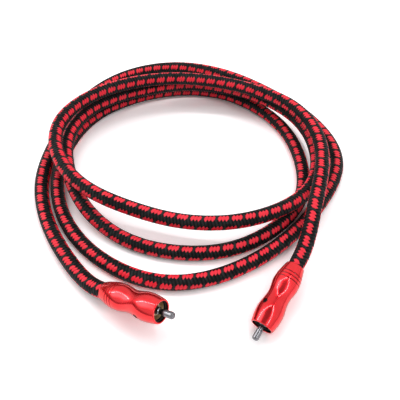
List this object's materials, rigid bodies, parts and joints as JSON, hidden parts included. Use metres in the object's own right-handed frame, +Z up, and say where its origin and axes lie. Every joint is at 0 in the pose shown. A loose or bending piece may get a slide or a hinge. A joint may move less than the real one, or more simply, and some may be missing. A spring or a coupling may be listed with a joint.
{
  "type": "audio interconnect cable",
  "caption": "Thick braided audio interconnect lying in loose coils, with a waisted screw-locking phono plug on each end.",
  "frame": {"origin": "centre of the footprint of the two plugs, on the surface the coils lie on", "axes": "+Z up; +X from the raised plug towards the other plug; +Y from the plugs towards the coils"},
  "size_m": [0.1872, 0.2204, 0.0253],
  "materials": {
    "red_shell": "polished and red anodised",
    "braid": "woven nylon sleeve, black with four staggered rows of red blocks",
    "black_nylon": "black moulded nylon",
    "gold_plate": "gold plated brass",
    "nickel": "bright nickel plate",
    "dark_steel": "blackened steel",
    "black_jacket": "black flexible jacket",
    "clear_foam": "white foamed dielectric",
    "copper": "bare copper"
  },
  "bodies": {
    "lead": {"cable_coil": "braid", "cable_lead_a": "braid", "cable_lead_b": "braid", "contact_sleeve_a": "gold_plate", "plug_core_a": "gold_plate", "insulator_a": "black_nylon", "centre_pin_a": "nickel", "pin_collar_a": "gold_plate", "inner_jacket_a": "black_jacket", "shield_braid_a": "nickel", "dielectric_a": "clear_foam", "conductor_a": "copper", "cable_clamp_a": "nickel", "contact_sleeve_b": "gold_plate", "plug_core_b": "gold_plate", "insulator_b": "black_nylon", "centre_pin_b": "nickel", "pin_collar_b": "gold_plate", "inner_jacket_b": "black_jacket", "shield_braid_b": "nickel", "dielectric_b": "clear_foam", "conductor_b": "copper", "cable_clamp_b": "nickel"},
    "lock_ring_a": {"squeeze_ring_a": "black_nylon"},
    "lock_shell_a": {"shell_a": "red_shell", "set_screw_a": "dark_steel"},
    "lock_ring_b": {"squeeze_ring_b": "black_nylon"},
    "lock_shell_b": {"shell_b": "red_shell", "set_screw_b": "dark_steel"}
  },
  "joints": [
    {"name": "ring_slide_a", "type": "slide", "parent": "lead", "child": "lock_ring_a", "axis": [-0.827, 0.4584, -0.3256], "range_m": [0, 0.0006]},
    {"name": "shell_turn_a", "type": "hinge", "parent": "lock_ring_a", "child": "lock_shell_a", "pos_m": [-0.04573, 0.00373, 0.00912], "axis": [-0.827, 0.4584, -0.3256], "range_deg": [0, 288]},
    {"name": "ring_slide_b", "type": "slide", "parent": "lead", "child": "lock_ring_b", "axis": [0.5397, 0.8248, 0.1685], "range_m": [0, 0.0006]},
    {"name": "shell_turn_b", "type": "hinge", "parent": "lock_ring_b", "child": "lock_shell_b", "pos_m": [0.04444, 0.01563, 0.01117], "axis": [0.5397, 0.8248, 0.1685], "range_deg": [0, 288]}
  ],
  "couplings": [
    {"joint": "ring_slide_a", "follows": "shell_turn_a", "m_per_rad": 0.00011936},
    {"joint": "ring_slide_b", "follows": "shell_turn_b", "m_per_rad": 0.00011936}
  ]
}
